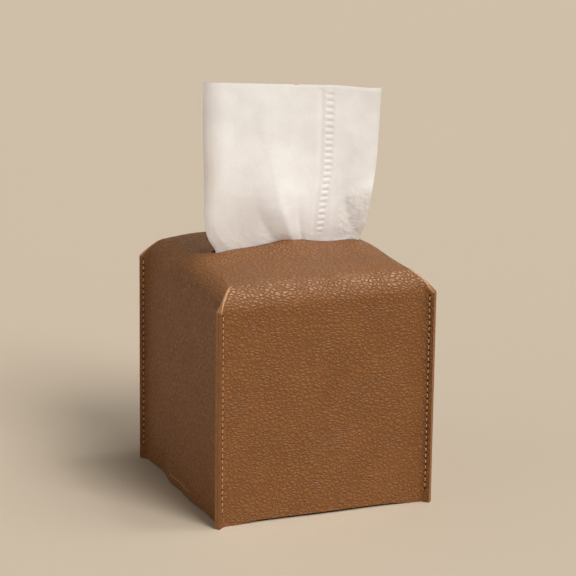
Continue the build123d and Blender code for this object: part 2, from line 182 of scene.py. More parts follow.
# its folds: for each, its share of the width and its depth to the front at these heights
FOLD_HEIGHTS = 120, 142, 149, 157, 170, 182, 202, 232
FOLDS = [
    ((0.00, 0.000, 0.000, 0.000, 0.000, 0.000, 0.000, 0.000), (0, -1.0, -1.8, -2.6, -2.6, -2.8, -3.4, -3.6)),
    ((0.10, 0.090, 0.060, 0.045, 0.040, 0.040, 0.040, 0.040), (0, 0.3, -0.4, -0.6, -0.6, -0.8, -1.6, -1.8)),
    ((0.35, 0.420, 0.393, 0.350, 0.285, 0.270, 0.250, 0.220), (0, -1.2, -0.9, -0.3, 0.8, 1.0, 0.8, 0.6)),
    ((0.55, 0.535, 0.505, 0.480, 0.430, 0.400, 0.350, 0.330), (0, 1.4, 3.0, 3.6, 3.4, 2.9, 1.9, 1.5)),
    ((0.60, 0.585, 0.575, 0.550, 0.530, 0.500, 0.450, 0.450), (0, 0.9, 1.9, 2.5, 2.7, 2.5, 2.2, 1.9)),
    ((0.61, 0.594, 0.583, 0.565, 0.560, 0.540, 0.500, 0.500), (0, 0.0, 1.0, 1.8, 2.4, 2.3, 2.2, 1.9)),
    ((0.63, 0.615, 0.597, 0.590, 0.585, 0.570, 0.550, 0.550), (0, 0.9, 1.8, 2.3, 2.3, 2.2, 2.1, 1.9)),
    ((0.75, 0.760, 0.755, 0.750, 0.740, 0.740, 0.740, 0.740), (0, 0.4, 0.8, 1.0, 1.4, 1.5, 1.5, 1.3)),
    ((0.92, 0.930, 0.911, 0.880, 0.835, 0.820, 0.810, 0.800), (0, -0.2, -0.5, -0.7, -0.4, 0.6, 0.8, 0.6)),
    ((1.00, 1.000, 1.000, 1.000, 1.000, 1.000, 1.000, 1.000), (0, 0.4, 1.4, 2.2, 2.4, 0.2, -1.6, -2.4)),
]
FOLD_SOFT = 1.6              # how far the folds are smoothed, in columns
RIPPLE = 0.35                # a faint ripple between the folds
RIPPLE_FADE = 125, 146       # heights between which it comes up

# the pressed row that joins its plies: place and half width as shares, pitch, depth, ends and their fade
CRIMP_SHARE, CRIMP_REACH, CRIMP_PITCH, CRIMP_DEPTH = 0.71, 0.024, 3.6, 0.38
CRIMP_LOW, CRIMP_HIGH, CRIMP_FADE = 146, 231, 3
TROUGH_SHARE, TROUGH_WIDTH, TROUGH_DEPTH = CRIMP_SHARE - 0.045, 0.016, 0.35    # the trough next to it

# the crease at the left that rises from the slit's lip: share and height at two places, depth and width
LIP_START, LIP_END = (0.1, 136), (0.51, 142.8)
LIP_DEPTH, LIP_WIDTH = 0.5, 1.3
LIP_COMES, LIP_GOES = (0.08, 0.14), (0.46, 0.54)    # shares between which it comes and goes

TOP_WAVES = 30               # how far down its top edge's waves reach


# ---------------------------------------------------------------- mesh helpers

WELD = 0.002                 # points closer than this are one point


def smooth_step(value, low, high):
    """A smooth step from 0 at low to 1 at high."""
    share = np.clip((value - low) / (high - low), 0, 1)
    return share * share * (3 - 2 * share)


def hump(value, middle, width):
    """A soft hump that is 1 in its middle."""
    return np.exp(-(((value - middle) / width) ** 2))


def grid_of(*values):
    """Points from rows, columns and grids of their coordinates."""
    return np.stack(np.broadcast_arrays(*values), -1)


def make_object(name, points, faces, body, materials, kinds=None, maps=None, sharp=35):
    """A mesh object that rides on a body, from points in millimetres. kinds holds the number of each
    face's material, and maps holds, by name, two coordinates for each point, for the UV map of that name."""
    mesh = bpy.data.meshes.new(name)
    mesh.from_pydata([tuple(MM * c for c in p) for p in points], [], faces)
    for material in materials:
        mesh.materials.append(material)
    if kinds is not None:
        mesh.polygons.foreach_set("material_index", kinds)
    corners = np.zeros(len(mesh.loops), dtype=np.int32)
    mesh.loops.foreach_get("vertex_index", corners)
    for map_name, places in (maps or {}).items():
        layer = mesh.uv_layers.new(name=map_name)
        layer.data.foreach_set("uv", np.asarray(places, dtype=np.float32)[corners].ravel())
    piece = bpy.data.objects.new(name, mesh)
    bpy.context.scene.collection.objects.link(piece)
    weld(mesh)
    mesh.shade_smooth()
    mesh.set_sharp_from_angle(angle=radians(sharp))
    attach(piece, body)
    return piece


def weld(mesh):
    """Joins points that lie on each other, and turns the faces outward."""
    work = bmesh.new()
    work.from_mesh(mesh)
    bmesh.ops.remove_doubles(work, verts=work.verts, dist=WELD * MM)
    bmesh.ops.recalc_face_normals(work, faces=work.faces)
    work.to_mesh(mesh)
    work.free()


class Builder:
    """Collects points, faces, UV maps and the number of each face's material."""

    def __init__(self, *maps):
        self.points, self.faces, self.kinds = [], [], []
        self.maps = {name: [] for name in maps}

    def grid(self, xyz, **places):
        """Adds a grid of points, with their places in each UV map, and returns their numbers."""
        rows, columns = xyz.shape[:2]
        start = len(self.points)
        self.points += [tuple(p) for p in xyz.reshape(-1, 3)]
        for name, values in places.items():
            self.maps[name] += [tuple(p) for p in values.reshape(-1, 2)]
        return start + np.arange(rows * columns).reshape(rows, columns)

    def sheet(self, numbers, kind=0):
        """Faces between the points of a grid."""
        quads = np.stack([numbers[:-1, :-1], numbers[:-1, 1:], numbers[1:, 1:], numbers[1:, :-1]], -1)
        self.add(quads.reshape(-1, 4), kind)

    def strip(self, first, second, kind=0):
        """Faces between two lines of points."""
        self.sheet(np.stack([first, second]), kind)

    def add(self, faces, kind):
        self.faces += [tuple(int(n) for n in face) for face in faces]
        self.kinds += [kind] * len(faces)


# ---------------------------------------------------------------- shape of the cover

def column_shares():
    """Where the columns of a panel stand, from -1 at its left seam to 1 at its right one."""
    even = np.linspace(0, EVEN_SHARE, EVEN_COLUMNS + 1)
    fine = np.linspace(EVEN_SHARE, 1, FINE_COLUMNS + 1)[1:]
    half = np.concatenate([even, fine])
    return np.concatenate([-half[:0:-1], half])


SHARES = column_shares()


def along_panel(share):
    """The distance along the flat sheet for a column's share: to the leaf's raw edge at 1."""
    even = np.abs(share) * PANEL_FACE
    turn = EVEN_SHARE * PANEL_FACE
    fine = turn + (np.abs(share) - EVEN_SHARE) / (1 - EVEN_SHARE) * (LEAF_END - turn)
    return np.sign(share) * np.where(np.abs(share) <= EVEN_SHARE, even, fine)


def plan(along, inset):
    """A panel in plan: straight, then folded out into a leaf. Gives the place along and out."""
    side, along = np.sign(along), np.abs(along)
    turn = np.clip((along - FOLD_START) / FLANGE_FOLD, 0, pi / 4)
    leaf = np.clip(along - FOLD_END, 0, None) / sqrt(2)
    x = np.minimum(along, FOLD_START) + FLANGE_FOLD * np.sin(turn) + leaf
    out = PANEL_MIDDLE + FLANGE_FOLD * (1 - np.cos(turn)) + leaf
    lift = LEATHER / 2 - inset
    return side * (x - np.sin(turn) * lift), out + np.cos(turn) * lift


def wave(along, z):
    """The soft unevenness of a panel, away from its seams: a long swell and a shorter, slanted one."""
    calm = smooth_step(FOLD_START - np.abs(along), 0, WAVE_SEAM) * smooth_step(ROUND_Z - z, 0, WAVE_EDGE)
    long_swell = np.sin(along / 17 + 0.9) * np.cos(z / 23 - 0.4)
    short_swell = np.sin(along / 9 - z / 13 + 2)
    return WAVE * calm * (long_swell + 0.6 * short_swell)


def ridge_drop(across, out, slope, reach):
    """What takes the edge off the ridge between two sides of the top, where they meet at 45 degrees."""
    off = np.clip(1 - np.abs(out - np.abs(across)) / (sqrt(2) * np.maximum(reach, 1e-6)), 0, 1)
    return slope * sqrt(2) * reach / 4 * off**2


def edge_grid(inset):
    """A panel round the edge of the top, down to where its side starts: points (along, out, z), their
    places in the flat sheet, and their distance from the ridge with the strength of its pale line, partly
    wear and partly painted highlight."""
    to_seam = np.linspace(LEAN, SEAM_TURN, EDGE_ROWS + 1)
    to_foot = np.linspace(SEAM_TURN, 0, LEAF_ROWS + 1)[1:]
    turn = np.concatenate([to_seam, to_foot])[:, None]
    share = SHARES[None, :]
    along = along_panel(share)
    out = ROUND_X + (TOP_RADIUS - inset) * np.cos(turn)
    z = ROUND_Z + (TOP_RADIUS - inset) * np.sin(turn)
    across = share * out
    soft = smooth_step(turn, *RIDGE_FADE)
    slope = 1 / np.tan(np.maximum(turn, RIDGE_STEEPEST))
    z = z - ridge_drop(across, out, slope, RIDGE_SOFT * soft)
    # strength of the pale line on the ridge: partly wear, partly painted highlight
    wear_and_highlight = smooth_step(turn, SEAM_TURN - 0.02, SEAM_TURN) * (1 - soft)
    ridge = grid_of((1 - np.abs(share)) * out, wear_and_highlight)

    opened = np.clip((LEAVES_OPEN - turn) / (LEAVES_OPEN - SEAM_TURN), 0, 1) ** LEAVES_EASE
    plan_x, plan_out = plan(along, inset)
    points = grid_of(
        across + opened * (plan_x - share * (PANEL_FACE - inset)),
        out + opened * (plan_out - (PANEL_FACE - inset)),
        z,
    )
    flat = grid_of(across + opened * (along - share * PANEL_FACE), TOP_HALF + (LEAN - turn) * TOP_RADIUS)
    return points, flat, ridge


def side_grid(inset):
    """The upright part of a panel, down to its arched lower edge: points (along, out, z) and their
    places in the flat sheet."""
    down = np.linspace(0, 1, SIDE_ROWS + 1)[1:, None]
    along = along_panel(SHARES[None, :])
    foot = ARCH * (1 - smooth_step(np.abs(along), ARCH_END, ARCH_START))
    z = ROUND_Z + (foot - ROUND_Z) * down
    x, out = plan(along, inset)
    return grid_of(x, out + wave(along, z), z), grid_of(along, TOP_HALF + LEAN * TOP_RADIUS + ROUND_Z - z)


def slot_half_width(x):
    """Half the width of the slit at x."""
    radius, middle = SLOT_WIDTH / 2, (SLOT_LENGTH - SLOT_WIDTH) / 2
    beyond = np.clip(np.abs(x) - middle, 0, None)
    return np.sqrt(np.clip(radius**2 - beyond**2, 0, None))


def top_grid(side, inset):
    """The top on one side of the slit (-1 front, 1 back), from the slit out to its edge."""
    x = SHARES[None, :] * TOP_HALF
    share = SHARES[len(SHARES) // 2:, None]
    gap = slot_half_width(x)
    out = gap + (TOP_HALF - gap) * share
    far, near = np.maximum(np.abs(x), out), np.minimum(np.abs(x), out)
    height = CROWN_CENTRE + np.sqrt((CROWN_RADIUS - inset) ** 2 - far**2)
    height = height - ridge_drop(near, far, far / CROWN_RADIUS, RIDGE_SOFT)
    return grid_of(x, side * out, height), grid_of(x, side * out)


def turned(points, quarter):
    """Panel points (along, out, ...) as points in the frame, for the panel at that quarter turn."""
    x, y = points[..., 0], -points[..., 1]
    c, s = (1, 0, -1, 0)[quarter], (0, 1, 0, -1)[quarter]
    return grid_of(c * x - s * y, s * x + c * y, *np.moveaxis(points[..., 2:], -1, 0))


def bulge(x, y):
    """How far the soft top stands above its plain crown."""
    inside_x, inside_y = (np.clip(1 - (np.abs(c) / PANEL_FACE) ** 8, 0, None) for c in (x, y))
    rise = sum(height * hump(x, x0, wide) * hump(y, y0, deep) for x0, y0, wide, deep, height in BULGES)
    return rise * inside_x * inside_y


def foot_swell(x, y, z):
    """How far the foot of the left panel stands out of its plain face."""
    calm = (1 - smooth_step(np.abs(y), *FOOT_ENDS)) * (1 - smooth_step(z, 0, FOOT_HEIGHT)) * (x < 0)
    return calm * sum(height * hump(y, y0, wide) for y0, wide, height in FOOT_SWELLS)


def softened(points):
    """The same points with the soft top's bulges, which end in the panels below it, and the swollen foot."""
    x, y, z = np.moveaxis(points, -1, 0)
    swell = foot_swell(x, y, z)
    lift = bulge(x, y) * smooth_step(z, *BULGE_FADE) - FOOT_DROP * swell
    return grid_of(x - swell, y, z + lift)


GRAIN, RAW, FLESH = 0, 1, 2


def cover_layer(build, inset, kind):
    """One face of the leather. Gives the numbers of the points of its four panels and its two top halves."""
    panels, tops = [], []
    edge, edge_flat, edge_ridge = edge_grid(inset)
    side, side_flat = side_grid(inset)
    points = np.concatenate([edge, side])
    flat = np.concatenate([edge_flat, side_flat])
    ridge = np.concatenate([edge_ridge, 0 * side_flat])
    panel = grid_of(flat[..., 0], points[..., 2])
    for quarter in range(4):
        place = softened(turned(points, quarter))
        panels.append(build.grid(place, flat=turned(flat, quarter), panel=panel, ridge=ridge))
    for half in (-1, 1):
        points, flat = top_grid(half, inset)
        tops.append(build.grid(softened(points), flat=flat, panel=0 * flat, ridge=0 * flat))
    for numbers in panels + tops:
        build.sheet(numbers, kind)
    return panels, tops


def leather_cover(materials):
    """The leather cover as one closed sheet: its grain side, its flesh side and its raw edges."""
    build = Builder("flat", "panel", "ridge")
    outer, outer_tops = cover_layer(build, 0, GRAIN)
    inner, inner_tops = cover_layer(build, LEATHER, FLESH)
    for panel_out, panel_in in zip(outer, inner):
        build.strip(panel_out[-1], panel_in[-1], RAW)
        for column in (0, -1):
            build.strip(panel_out[EDGE_ROWS:, column], panel_in[EDGE_ROWS:, column], RAW)
    slit = np.flatnonzero(slot_half_width(SHARES * TOP_HALF) > 0)
    slit = np.arange(slit[0] - 1, slit[-1] + 2)
    for top_out, top_in in zip(outer_tops, inner_tops):
        build.strip(top_out[0, slit], top_in[0, slit], RAW)
    for quarter in range(4):
        after = (quarter + 1) % 4
        for panels, kind in ((outer, RAW), (inner, FLESH)):
            build.strip(panels[quarter][: EDGE_ROWS + 1, -1], panels[after][: EDGE_ROWS + 1, 0], kind)
        ends = [outer[quarter][EDGE_ROWS, -1], inner[quarter][EDGE_ROWS, -1]]
        ends += [inner[after][EDGE_ROWS, 0], outer[after][EDGE_ROWS, 0]]
        build.add([ends], RAW)
    cover = make_object(
        "cover_leather", build.points, build.faces, "cover", materials, build.kinds, build.maps
    )
    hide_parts("leather_cover")


# ---------------------------------------------------------------- writing shader nodes

def srgb(r, g, b):
    """A colour written as 0 to 255 values, as linear light."""
    values = [c / 255 for c in (r, g, b)]
    return tuple(c / 12.92 if c <= 0.04045 else ((c + 0.055) / 1.055) ** 2.4 for c in values)


def scaled(colour, factor):
    return tuple(factor * c for c in colour)


class Nodes:
    """A short way to write shader nodes."""

    def __init__(self, tree):
        self.tree = tree

    def add(self, kind, values=(), **settings):
        """A node with settings, and values or links for its inputs by number or name."""
        node = self.tree.nodes.new("ShaderNode" + kind)
        for name, value in settings.items():
            setattr(node, name, value)
        for key, value in dict(values).items():
            self.put(node.inputs[key], value)
        return node

    def put(self, socket, value):
        """Gives an input a value, or a link from an output."""
        if isinstance(value, bpy.types.NodeSocket):
            self.tree.links.new(value, socket)
        elif isinstance(value, tuple) and len(value) == 3 and len(socket.default_value) == 4:
            socket.default_value = (*value, 1)
        else:
            socket.default_value = value

    def math(self, operation, *values):
        return self.add("Math", enumerate(values), operation=operation).outputs[0]

    def vector(self, operation, *values):
        return self.add("VectorMath", enumerate(values), operation=operation).outputs[0]

    def times(self, first, second):
        return self.math("MULTIPLY", first, second)

    def times_plus(self, first, second, third):
        return self.math("MULTIPLY_ADD", first, second, third)

    def split(self, vector):
        """The X, Y and Z of a vector."""
        return self.add("SeparateXYZ", {0: vector}).outputs

    def ramp(self, value, low, high, to_low=0.0, to_high=1.0):
        """A smooth step from to_low at low to to_high at high."""
        values = {"Value": value, "From Min": low, "From Max": high, "To Min": to_low, "To Max": to_high}
        return self.add("MapRange", values, interpolation_type="SMOOTHSTEP").outputs[0]

    def fall(self, value, low, high):
        """A smooth step from 1 at low to 0 at high."""
        return self.ramp(value, low, high, 1.0, 0.0)


class Material(Nodes):
    """The nodes of a new material, which all end in one shader."""

    def __init__(self, name):
        self.material = bpy.data.materials.new(name)
        self.material.use_nodes = True
        super().__init__(self.material.node_tree)
        self.shader = self.tree.nodes["Principled BSDF"]

    def place(self):
        """A point's place in its object, in millimetres."""
        return self.vector("MULTIPLY", self.add("TexCoord").outputs["Object"], (1 / MM, 1 / MM, 1 / MM))

    def uv(self, name):
        return self.add("UVMap", uv_map=name).outputs[0]

    def noise(self, place, scale, detail=2.0, roughness=0.5):
        values = {"Vector": place, "Scale": scale, "Detail": detail, "Roughness": roughness}
        return self.add("TexNoise", values).outputs["Fac"]

    def shift(self, place, by, scale, detail, reach):
        """A place moved about by a noise in the plane of the sheet."""
        values = {"Vector": by, "Scale": scale, "Detail": detail}
        centred = self.vector("SUBTRACT", self.add("TexNoise", values).outputs["Color"], (0.5, 0.5, 0.5))
        return self.vector("ADD", place, self.vector("MULTIPLY", centred, (reach, reach, 0)))

    def cells(self, place, scale, feature="DISTANCE_TO_EDGE", randomness=1.0):
        values = {"Vector": place, "Scale": scale, "Randomness": randomness}
        return self.add("TexVoronoi", values, feature=feature).outputs["Distance"]

    def mix(self, share, first, second):
        """A colour between two others, which are a Mix node's inputs 6 and 7."""
        return self.add("Mix", {0: share, 6: first, 7: second}, data_type="RGBA").outputs[2]

    def dimmed(self, colour, factor):
        """A colour times a factor."""
        grey = self.add("CombineColor", {0: factor, 1: factor, 2: factor}).outputs[0]
        values = {0: 1.0, 6: colour, 7: grey}
        return self.add("Mix", values, data_type="RGBA", blend_type="MULTIPLY").outputs[2]

    def bump(self, height, distance, normal=None):
        """The normal of a surface with that height times that many millimetres."""
        values = {"Height": height, "Distance": distance * MM, "Strength": 1.0}
        if normal is not None:
            values["Normal"] = normal
        return self.add("Bump", values).outputs[0]

    def finish(self, colour, roughness, normal, **constants):
        """The material, once its shader has these inputs. Spaces in the constants' names are written _."""
        inputs = {"Base Color": colour, "Roughness": roughness, "Normal": normal}
        inputs.update({name.replace("_", " "): value for name, value in constants.items()})
        for name, value in inputs.items():
            self.put(self.shader.inputs[name], value)
        return self.material


# ---------------------------------------------------------------- leather

LEATHER_COLOUR = srgb(126, 79, 36)
WEAR_AND_HIGHLIGHT_COLOUR = srgb(190, 144, 100)
RIDGE_LIGHT, GROOVE_DARK = 1.04, 0.8     # the colour on the pebbles and between them
GRAIN_PITCH = 2.2            # across one pebble of the grain
GRAIN_FINER = 2.3            # how many of the fine creases' cells go into that
GRAIN_RELIEF = 0.47
GRAIN_SLANT = radians(25)
GRAIN_SQUEEZE = 0.8, 1.15, 1     # which makes the pebbles a little wider than high
GRAIN_DRIFT, GRAIN_SWIRL = 1.3, 9    # how far single pebbles and whole areas of them wander
BROAD = 0.035                # scale of the areas in which the grain swirls and deepens
DOME = 2.2                   # how steeply a pebble rises from its groove


def pebbles(n, flat):
    """The height of the grain and its grooves: slanted, domed cells in the flat sheet, and fine creases."""
    place = n.shift(flat, flat, 0.16, 3, GRAIN_DRIFT)
    place = n.shift(place, flat, BROAD, 2, GRAIN_SWIRL)
    turn = {"Vector": place, "Angle": GRAIN_SLANT}
    slanted = n.add("VectorRotate", turn, rotation_type="Z_AXIS").outputs[0]
    pebble = n.cells(n.vector("MULTIPLY", slanted, GRAIN_SQUEEZE), 1 / GRAIN_PITCH, randomness=0.85)
    creases = n.ramp(n.cells(place, GRAIN_FINER / GRAIN_PITCH), 0.0, 0.3)
    deep = n.ramp(n.noise(flat, BROAD), 0.35, 0.65, 0.75, 1.0)
    groove = n.times(n.fall(pebble, 0.0, 0.16), deep)
    slope = n.math("SUBTRACT", 1.0, n.math("MINIMUM", n.times(pebble, DOME), 1.0))
    dome = n.math("SUBTRACT", 1.0, n.times(slope, slope))
    height = n.times_plus(creases, 0.05, n.times(dome, 0.72))
    return n.times_plus(groove, -0.12, n.math("ADD", height, 0.18)), groove


def needle_marks(n, along, up):
    """The needle holes of a seam, and the line that its stitches press into the leather."""
    aside = n.math("SUBTRACT", n.math("ABSOLUTE", along), SEAM_ALONG)
    up = n.math("SUBTRACT", up, SEAM_START)
    step = n.math("SUBTRACT", n.math("FRACT", n.math("ADD", n.math("DIVIDE", up, STITCH), 0.5)), 0.5)
    off = n.times(step, STITCH)
    distance = n.math("SQRT", n.math("ADD", n.times(aside, aside), n.times(off, off)))
    started = n.math("GREATER_THAN", up, -PRESSED_PAST)
    going_on = n.math("LESS_THAN", up, SEAM_STITCHES * STITCH + PRESSED_PAST)
    sewn = n.times(started, going_on)
    pressed = n.fall(n.math("ABSOLUTE", aside), *PRESSED)
    return n.times(n.fall(distance, *HOLE), sewn), n.times(pressed, sewn)


def leather_material():
    """Pebbled leather with needle holes at its seams, painted dark with shade, and a pale line along the
    ridges of its corners that is partly wear and partly painted highlight.
    """
    n = Material("pebbled_leather")
    flat = n.uv("flat")
    panel = n.split(n.uv("panel"))
    height, groove = pebbles(n, flat)
    hole, pressed = needle_marks(n, panel["X"], panel["Y"])
    normal = n.bump(n.times_plus(n.noise(flat, 5.0), 0.05, height), GRAIN_RELIEF)
    normal = n.bump(n.times_plus(pressed, PRESSED_DEPTH, hole), -HOLE_DEPTH, normal)

    tone = n.ramp(n.noise(flat, 0.05, 3), 0.3, 0.7, 0.96, 1.03)
    # painted shade in the needle holes and along the line that the stitches press in
    shade = n.math("SUBTRACT", 1.0, n.times_plus(hole, HOLE_SHADE, n.times(pressed, PRESSED_SHADE)))
    colour = n.mix(groove, scaled(LEATHER_COLOUR, RIDGE_LIGHT), scaled(LEATHER_COLOUR, GROOVE_DARK))
    colour = n.dimmed(n.dimmed(colour, tone), shade)
    ridge = n.split(n.uv("ridge"))
    wear_and_highlight = n.times(n.fall(ridge["X"], 0.5, 1.7), ridge["Y"])
    # a pale line along the corner ridges: partly wear, partly painted highlight
    colour = n.mix(n.times(wear_and_highlight, 0.9), colour, WEAR_AND_HIGHLIGHT_COLOUR)
    return n.finish(colour, n.ramp(height, 0.2, 1.0, 0.6, 0.38), normal, Specular_IOR_Level=0.32)


def fibre_material(name, dark, pale, scale, relief=0.12, roughness=0.85):
    """A matte, fibrous surface: raw leather, board or stacked tissue."""
    n = Material(name)
    place = n.place()
    fine = n.noise(place, scale, 4, 0.6)
    broad = n.noise(place, scale / 9)
    share = n.ramp(n.times_plus(fine, 0.7, n.times(broad, 0.3)), 0.3, 0.7)
    return n.finish(n.mix(share, dark, pale), roughness, n.bump(fine, relief))


raw_edge = fibre_material("raw_edge", srgb(112, 70, 36), srgb(146, 98, 56), 3.0)
flesh = fibre_material("flesh_side", srgb(104, 76, 50), srgb(134, 102, 70), 1.6)
leather_cover([leather_material(), raw_edge, flesh])


# ---------------------------------------------------------------- stitches

def stitch_shape():
    """One stitch lying along +Z in front of the leather (+X), with both ends down in their holes."""
    points = []
    for share in np.linspace(-1, 1, THREAD_RINGS):
        proud = STITCH_PROUD - (STITCH_PROUD + STITCH_SUNK) * abs(share) ** STITCH_BEND
        radius = THREAD / 2 * (1 - THREAD_TAPER * abs(share) ** 3)
        for step in range(THREAD_SIDES):
            angle = 2 * pi * (step / THREAD_SIDES + THREAD_TWIST * share)
            front = proud - radius + radius * cos(angle)
            points.append((front, THREAD_WIDER * radius * sin(angle), share * (STITCH / 2 - STITCH_SPACE)))
    faces = []
    for ring in range(THREAD_RINGS - 1):
        for step in range(THREAD_SIDES):
            low, after = ring * THREAD_SIDES, (step + 1) % THREAD_SIDES
            high = low + THREAD_SIDES
            faces.append((low + step, low + after, high + after, high + step))
    faces.append(tuple(reversed(range(THREAD_SIDES))))
    faces.append(tuple((THREAD_RINGS - 1) * THREAD_SIDES + step for step in range(THREAD_SIDES)))
    return np.array(points), faces


def stitch_line(name, places, material, node):
    """A line of stitches. places holds, for each, its middle, its outward and its lengthwise axis."""
    shape, shape_faces = stitch_shape()
    points, faces = [], []
    for number, (middle, outward, lengthwise) in enumerate(places):
        aside = np.cross(lengthwise, outward)
        slant = STITCH_SLANT * (1 + 0.5 * sin(7.3 * number))
        long_axis = lengthwise * cos(slant) + aside * sin(slant)
        side_axis = aside * cos(slant) - lengthwise * sin(slant)
        start = len(points)
        points += list(middle + shape @ np.array([outward, side_axis, long_axis]))
        faces += [tuple(start + n for n in face) for face in shape_faces]
    line = make_object(name, points, faces, "cover", [material])
    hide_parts(node)


def seam_stitches(corner, angle, material):
    """The stitches of a corner seam, on the outer faces of both of its leaves."""
    diagonal = SEAM_DIAGONAL * np.array([cos(angle), sin(angle), 0])
    places = []
    for side in (-1, 1):
        outward = side * np.array([-sin(angle), cos(angle), 0])
        for number in range(SEAM_STITCHES):
            z = SEAM_START + (number + 0.5) * STITCH
            middle = diagonal + outward * (LEAF_OFFSET + LEATHER / 2) + np.array([0, 0, z])
            places.append((middle, outward, np.array([0, 0, 1])))
    stitch_line(f"seam_stitches_{corner}", places, material, f"seam_thread_{corner}")


def strap_stitches(name, side, material):
    """The short row that sews a strap to its panel, on the panel and on the strap."""
    node = f"strap_thread_{name}"
    low, high = node_box(node)
    z = (low[2] + high[2]) / 2
    inner = min(abs(low[0]), abs(high[0])) + STRAP_THREAD_RISE
    places = []
    for number in range(STRAP_STITCHES):
        y = (number + 0.5 - STRAP_STITCHES / 2) * STITCH
        face = PANEL_FACE + wave(side * y, z)
        outside = softened(np.array([side * face, y, z]))
        inside = np.array([side * inner, y, z])
        for middle, outward in ((outside, side), (inside, -side)):
            places.append((middle, np.array([outward, 0, 0]), np.array([0, 1, 0])))
    stitch_line(f"strap_stitches_{name}", places, material, node)


def thread_material():
    """Twisted sewing thread."""
    n = Material("thread")
    values = {"Vector": n.place(), "Scale": 1.1, "Distortion": 1.5}
    twist = n.add("TexWave", values, bands_direction="DIAGONAL").outputs["Fac"]
    colour = n.mix(twist, srgb(158, 110, 66), srgb(218, 168, 116))
    return n.finish(colour, 0.6, n.bump(twist, 0.08), Sheen_Weight=0.3)


CORNERS = {"back_right": 45, "back_left": 135, "front_left": 225, "front_right": 315}
thread = thread_material()
for corner, degrees in CORNERS.items():
    seam_stitches(corner, radians(degrees), thread)
for name, side in (("left", -1), ("right", 1)):
    strap_stitches(name, side, thread)


# ---------------------------------------------------------------- tissue

def smooth_curve(points, at):
    """A smooth line through points (position, value, ...), read at the positions given."""
    points = np.array(points, dtype=float)
    where, values = points[:, 0], points[:, 1:]
    slopes = np.gradient(values, where, axis=0)
    after = np.clip(np.searchsorted(where, at, side="right"), 1, len(where) - 1)
    before = after - 1
    span = (where[after] - where[before])[:, None]
    share = np.clip((at - where[before])[:, None] / span, 0, 1)
    square, cube = share**2, share**3
    return (
        (2 * cube - 3 * square + 1) * values[before]
        + (cube - 2 * square + share) * span * slopes[before]
        + (3 * square - 2 * cube) * values[after]
        + (cube - square) * span * slopes[after]
    )


def blurred(rows, width):
    """Each row smoothed over that many columns."""
    reach = int(3 * width)
    weights = np.exp(-0.5 * (np.arange(-reach, reach + 1) / width) ** 2)
    padded = np.pad(rows, ((0, 0), (reach, reach)), mode="edge")
    return np.array([np.convolve(row, weights / weights.sum(), mode="valid") for row in padded])


def folded(share, heights):
    """The depth of the folds: straight from each to the next across the sheet, then smoothed."""
    lines = [smooth_curve(np.column_stack([FOLD_HEIGHTS, *fold]), heights) for fold in FOLDS]
    places, depths = np.transpose(lines)
    places = np.maximum.accumulate(places, axis=1)
    rows = [np.interp(share, place, depth) for place, depth in zip(places, depths)]
    return blurred(np.array(rows), FOLD_SOFT)


def crimped(share, z):
    """How deep the pressed row is, bar by bar, and the soft trough to the left of it."""
    across = np.clip(1 - ((share - CRIMP_SHARE) / CRIMP_REACH) ** 4, 0, 1)
    bars = (0.5 + 0.5 * np.cos(2 * pi * z / CRIMP_PITCH)) ** 2
    trough = TROUGH_DEPTH * hump(share, TROUGH_SHARE, TROUGH_WIDTH)
    started = smooth_step(z, CRIMP_LOW, CRIMP_LOW + CRIMP_FADE)
    going_on = 1 - smooth_step(z, CRIMP_HIGH - CRIMP_FADE, CRIMP_HIGH)
    return started * going_on * (CRIMP_DEPTH * across * bars + trough)


def lip_crease(share, z):
    """How far the crease that rises from the slit's lip stands out."""
    (start, low), (end, high) = LIP_START, LIP_END
    lip = low + (high - low) * (share - start) / (end - start)
    there = smooth_step(share, *LIP_COMES) * (1 - smooth_step(share, *LIP_GOES))
    return LIP_DEPTH * hump(z, lip, LIP_WIDTH) * there


def tissue_depth(share, heights):
    """How far each point of the sheet stands to the front of the chord between its edges."""
    z = heights[:, None]
    ripple = RIPPLE * np.sin(9 * share + z / 19) * np.sin(z / 11 - 4 * share + 1)
    plain = folded(share, heights) + smooth_step(z, *RIPPLE_FADE) * ripple
    return plain + lip_crease(share, z) - crimped(share, z)


def tissue_heights(share, heights):
    """The height of each point of the sheet. Its top edge is wavy, nicked in the middle and lower at the
    right."""
    z = heights[:, None]
    waves = 1.4 + 0.7 * share + 0.5 * np.sin(5 * share + 0.5)
    nick = 0.5 * hump(share, 0.52, 0.012)
    drop = 2.56 * smooth_step(share, 0.7, 1)
    return z + smooth_step(z, SHEET_TOP - TOP_WAVES, SHEET_TOP) * (waves - nick - drop)


